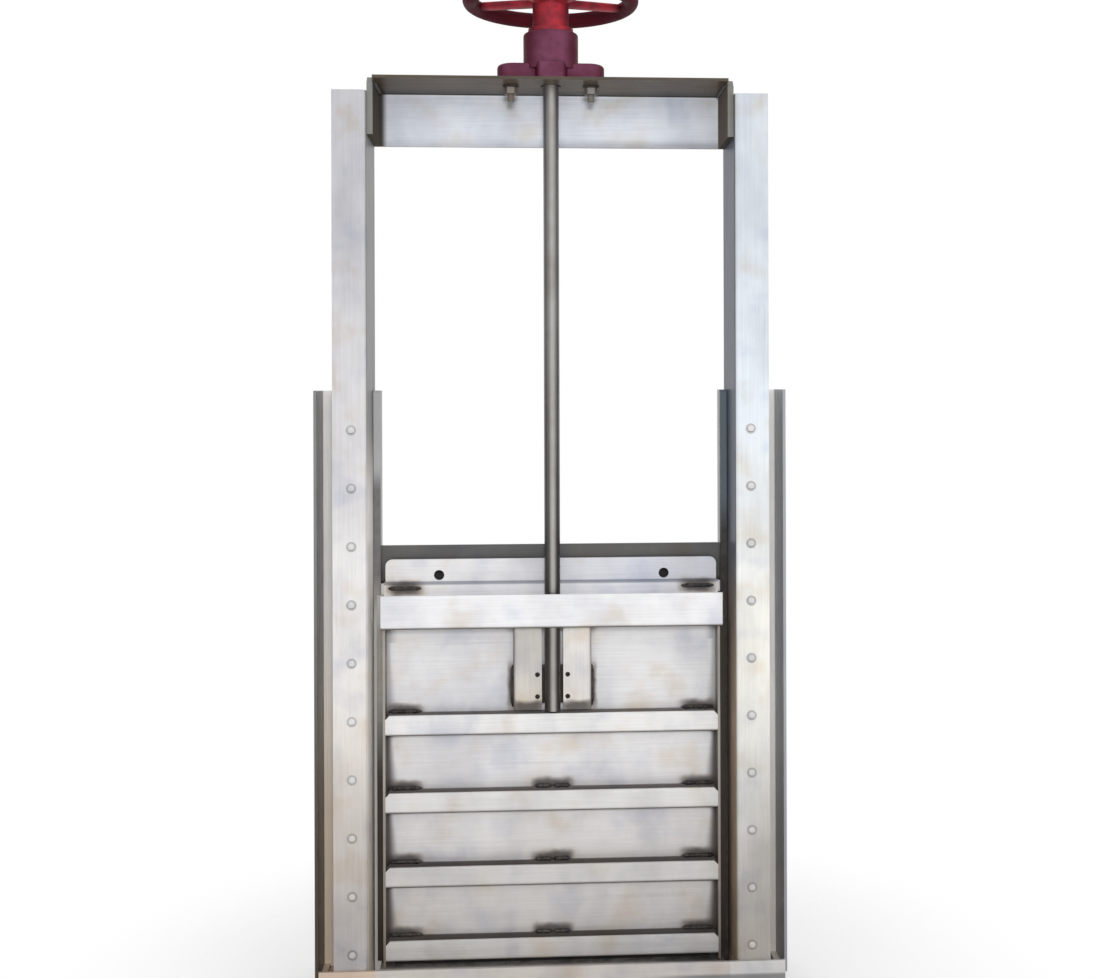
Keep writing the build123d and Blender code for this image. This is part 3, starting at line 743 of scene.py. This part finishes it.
def paint(name, fresh, worn, shade, dark_rim_from=None):
    """Brushed-on paint with painted shade on the sides; outside the given radius the rim is darker, as
    painted shade on its underside and as wear from hands.
    """
    material, graph, shader = new_material(name)
    place = graph.here()
    mottle = graph.noise(place, 22.0, 4.0, 0.6)
    colour = graph.mix(graph.span(mottle, 0.35, 0.7), fresh, worn)
    # Painted shade on the sides.
    sideways = graph.math("ABSOLUTE", graph.facing()[0])
    colour = graph.mix(graph.span(sideways, 0.35, 0.98), colour, shade)
    rough = graph.span(mottle, 0.3, 0.7, 0.36, 0.52)
    if dark_rim_from is not None:
        away = graph.vector("SUBTRACT", place, (0.0, STEM_Y, 0.0))
        away = graph.vector("LENGTH", graph.vector("MULTIPLY", away, (1.0, 1.0, 0.0)), output=1)
        # The rim painted darker: painted shade on its underside and wear from hands.
        dark_rim = graph.span(away, dark_rim_from, dark_rim_from + 0.022)
        colour = graph.mix(dark_rim, colour, linear(78, 22, 33))
        rough = graph.math("ADD", rough, graph.math("MULTIPLY", dark_rim, 0.2))
    # Painted shade and soiling in the corners.
    shade_and_dirt = graph.group(corner_grime, {"Reach": 0.03, "Amount": 1.0})["ShadeAndDirt"]
    colour = graph.mix(shade_and_dirt, colour, linear(58, 12, 26))
    graph.feed(shader.inputs["Base Color"], colour)
    graph.feed(shader.inputs["Roughness"], rough)
    shader.inputs["Specular IOR Level"].default_value = 0.06
    graph.bump(shader, 0.15, 0.001, graph.noise(place, 160.0, 3.0, 0.5))
    return material


def dull_solid(name, light, dark, rough, scale, height_tones=()):
    """Mottled matt rubber or slide plastic; each height tone covers it from one height to another."""
    material, graph, shader = new_material(name)
    place = graph.here()
    mottle = graph.noise(place, scale, 5.0, 0.6)
    colour = graph.mix(graph.span(mottle, 0.3, 0.7), dark, light)
    height = graph.split(place)[2]
    for from_height, to_height, tone in height_tones:
        colour = graph.mix(graph.span(height, from_height, to_height), colour, tone)
    graph.feed(shader.inputs["Base Color"], colour)
    graph.feed(shader.inputs["Roughness"], graph.span(mottle, 0.3, 0.7, rough - 0.08, rough + 0.08))
    graph.bump(shader, 0.1, 0.001, mottle)
    return material


def weld_finish():
    """Oxidised bead: dark grey-brown with straw and blue heat tint on the ripples."""
    material, graph, shader = new_material("weld_metal")
    place = graph.here()
    tint = graph.noise(place, 130.0, 3.0, 0.6)
    colour = graph.mix(graph.span(tint, 0.35, 0.65), linear(62, 59, 57), linear(98, 92, 87))
    colour = graph.mix(graph.span(graph.noise(place, 60.0, 2.0), 0.55, 0.75), colour, linear(60, 62, 74))
    graph.feed(shader.inputs["Base Color"], colour)
    shader.inputs["Metallic"].default_value = 0.7
    graph.feed(shader.inputs["Roughness"], graph.span(tint, 0.3, 0.7, 0.38, 0.6))
    return material


# Stem, paint, rubber and plastic
dress(stem_finish(), "stem", "wheel_locknut")
wheel_paint = paint("wheel_paint", linear(195, 60, 72), linear(132, 51, 61), linear(102, 26, 36), 0.128)
dress(wheel_paint, "handwheel", "stem_nut")
head_paint = paint("head_paint", linear(119, 68, 92), linear(99, 52, 70), linear(76, 16, 34))
dress(head_paint, "headstock")
rubber = dull_solid("rubber", linear(44, 43, 42), linear(28, 28, 28), 0.7, 60.0)
dress(rubber, "left_side_seal", "right_side_seal", "top_seal", "sill_seal")
# Painted light and shade: the left strip lighter than the right one, light above the leaf and low down,
# with painted shade between.
left_plastic = dull_solid(
    "left_slide_plastic", linear(120, 118, 117), linear(106, 104, 103), 0.5, 50.0,
    [(1.0, 1.06, linear(174, 174, 175)), (0.84, 0.72, linear(208, 204, 199))],
)
dress(left_plastic, "left_slide_strip")
# Painted shade: the right strip dark, a little lighter above the leaf.
right_plastic = dull_solid(
    "right_slide_plastic", linear(70, 68, 66), linear(46, 44, 42), 0.5, 50.0,
    [(0.90, 1.0, linear(96, 104, 110))],
)
dress(right_plastic, "right_slide_strip")

# Fasteners and welds
weld_metal = weld_finish()
bolt_steel = stainless("bolt_steel", linear(224, 224, 224), linear(150, 150, 150), ALONG_X, reach=0.004)
nut_steel = stainless("nut_steel", linear(160, 154, 148), linear(74, 70, 66), ALONG_Z, metallic=0.25)
# A dark ring round each bolt head: painted shadow.
shadow_ring_steel = stainless("shadow_ring_steel", linear(192, 191, 190), linear(120, 118, 116), ALONG_X, soil=1.0)


def add_piece(name, mesh, material, body):
    """Turns a bmesh into a named piece that rides on a body."""
    data = bpy.data.meshes.new(name)
    bmesh.ops.recalc_face_normals(mesh, faces=mesh.faces[:])
    mesh.to_mesh(data)
    mesh.free()
    data.materials.append(material)
    piece = bpy.data.objects.new(name, data)
    bpy.context.scene.collection.objects.link(piece)
    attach(piece, body)
    return piece


def add_ring_row(mesh, rings):
    """Skins rings of equal count into a closed tube."""
    made = [[mesh.verts.new(point) for point in ring] for ring in rings]
    for first, second in zip(made, made[1:]):
        count = len(first)
        for index in range(count):
            after = (index + 1) % count
            mesh.faces.new((first[index], first[after], second[after], second[index]))
    mesh.faces.new(list(reversed(made[0])))
    mesh.faces.new(made[-1])


def turned(profile, sides, place, hexagons=()):
    """Rings about Z, each of a radius and a height; those listed in hexagons have six flats."""
    rings = []
    for index, (radius, height) in enumerate(profile):
        ring = []
        for step in range(sides):
            angle = 2 * math.pi * step / sides
            reach = radius
            if index in hexagons:
                reach = radius / math.cos(angle % (math.pi / 3) - math.pi / 6)
            ring.append(place @ Vector((reach * math.cos(angle), reach * math.sin(angle), height)))
        rings.append(ring)
    return rings


def raised(profile, height):
    """A profile of radius and height, moved up."""
    return [(radius, height + level) for radius, level in profile]


def smooth_shade(piece, angle=35.0):
    """Smooth shading with sharp edges kept."""
    for face in piece.data.polygons:
        face.use_smooth = True
    piece.data.set_sharp_from_angle(angle=math.radians(angle))


def add_face_bolts():
    """Low round bolt heads, each on a thin dark ring of painted shadow, down the front of each upright.
    """
    shadow_ring = [(0.0102, 0.0), (0.0102, 0.0005), (0.0098, 0.0009), (0.0050, 0.0009)]
    dome = [
        (0.0070, 0.0007), (0.0071, 0.0014), (0.0066, 0.0024),
        (0.0052, 0.0033), (0.0032, 0.0038), (0.0010, 0.0039),
    ]
    to_front = Matrix.Rotation(math.radians(90), 4, "X")
    for side, word in ((-1, "left"), (1, "right")):
        for name, profile, material in (
            ("bolt_shadow_rings", shadow_ring, shadow_ring_steel),
            ("face_bolts", dome, bolt_steel),
        ):
            mesh = bmesh.new()
            for index in range(FACE_BOLTS):
                height = FACE_BOLT_TOP - index * FACE_BOLT_PITCH
                place = Matrix.Translation((side * FACE_BOLT_X, UPRIGHT_FRONT, height)) @ to_front
                add_ring_row(mesh, turned(profile, 24, place))
            smooth_shade(add_piece(f"{word}_{name}", mesh, material, "frame"))


def add_head_studs():
    """Studs that hold the headstock: ends in the ears, and washer, nut and thread under the beam."""
    washer = [
        (0.0095, -0.003), (0.0164, -0.003), (0.0168, -0.0026),
        (0.0168, -0.0004), (0.0164, 0.0), (0.0095, 0.0),
    ]
    nut = [
        (0.0085, -0.018), (0.0114, -0.018), (0.0127, -0.0167),
        (0.0127, -0.0043), (0.0114, -0.003), (0.0085, -0.003),
    ]
    tip = (0.0060, -0.0320)
    thread = [(0.0078 - 0.0008 * (step % 2), -0.0305 + 0.001 * step) for step in range(30)]
    stud_foot = (0.0086, BEAM_UNDERSIDE + 0.008)
    stud_end = [(0.0086, -0.0035), (0.0070, -0.002), (0.0010, -0.0015)]
    for side, word in ((-1, "left"), (1, "right")):
        place = Matrix.Translation((side * HEAD_STUD_X, STEM_Y, 0.0))
        mesh = bmesh.new()
        add_ring_row(mesh, turned(raised(washer, BEAM_UNDERSIDE), 32, place))
        add_piece(f"{word}_head_washer", mesh, weld_metal, "frame")
        mesh = bmesh.new()
        add_ring_row(mesh, turned(raised(nut, BEAM_UNDERSIDE), 36, place, hexagons=(2, 3)))
        add_ring_row(mesh, turned(raised([tip] + thread, BEAM_UNDERSIDE), 24, place))
        smooth_shade(add_piece(f"{word}_head_nut", mesh, nut_steel, "frame"))
        mesh = bmesh.new()
        add_ring_row(mesh, turned([stud_foot] + raised(stud_end, EAR_TOP), 32, place))
        smooth_shade(add_piece(f"{word}_head_stud", mesh, head_paint, "frame"))


def bead_rings(start, end, radius, seed):
    """Rings of a weld bead: overlapping ripples along a line, with uneven width."""
    pick = random.Random(seed)
    start, end = Vector(start), Vector(end)
    along = (end - start).normalized()
    across = along.cross(Vector((0.3, 1.0, 0.2))).normalized()
    third = along.cross(across)
    length = (end - start).length
    steps = max(8, int(length / BEAD_STEP))
    rings = []
    width = 1.0
    for step in range(steps + 1):
        share = step / steps
        if step % 4 == 0:
            width = 0.86 + 0.28 * pick.random()
        ripple = 0.82 + 0.18 * ((step % 4) / 3)
        taper = min(1.0, 0.35 + 6.0 * min(share, 1.0 - share))
        reach = radius * width * ripple * taper
        middle = start + along * (length * share)
        ring = []
        for side in range(BEAD_SIDES):
            angle = 2 * math.pi * side / BEAD_SIDES
            ring.append(middle + reach * (math.cos(angle) * across + math.sin(angle) * third))
        rings.append(ring)
    return rings


def add_welds():
    """Weld beads on the leaf and in the corners of the beam."""
    for name, runs, radius, body in (
        ("leaf_welds", leaf_welds(), LEAF_BEAD_RADIUS, "leaf"),
        ("beam_welds", beam_welds(), BEAM_BEAD_RADIUS, "frame"),
    ):
        mesh = bmesh.new()
        for index, (start, end) in enumerate(runs):
            add_ring_row(mesh, bead_rings(start, end, radius, BEAD_SEED + index))
        smooth_shade(add_piece(name, mesh, weld_metal, body), 60.0)


def add_foot_closers():
    """A small plate that closes the foot of each wall channel, from its outer leg to the gate's foot."""
    inner, outer = FOOT_END - CLOSER_LAP, CHANNEL_LEG_X + CLOSER_LAP
    size = Matrix.Diagonal((outer - inner, CLOSER_DEPTH, CLOSER_THICKNESS, 1.0))
    for side, word in ((-1, "left"), (1, "right")):
        mesh = bmesh.new()
        place = Matrix.Translation((side * (inner + outer) / 2, CLOSER_Y, CLOSER_Z)) @ size
        bmesh.ops.create_cube(mesh, size=1.0, matrix=place)
        channel_steel = nodes[f"{word}_guide_channel"].data.materials[0]
        add_piece(f"{word}_foot_closer", mesh, channel_steel, "frame")


add_face_bolts()
add_head_studs()
add_welds()
add_foot_closers()
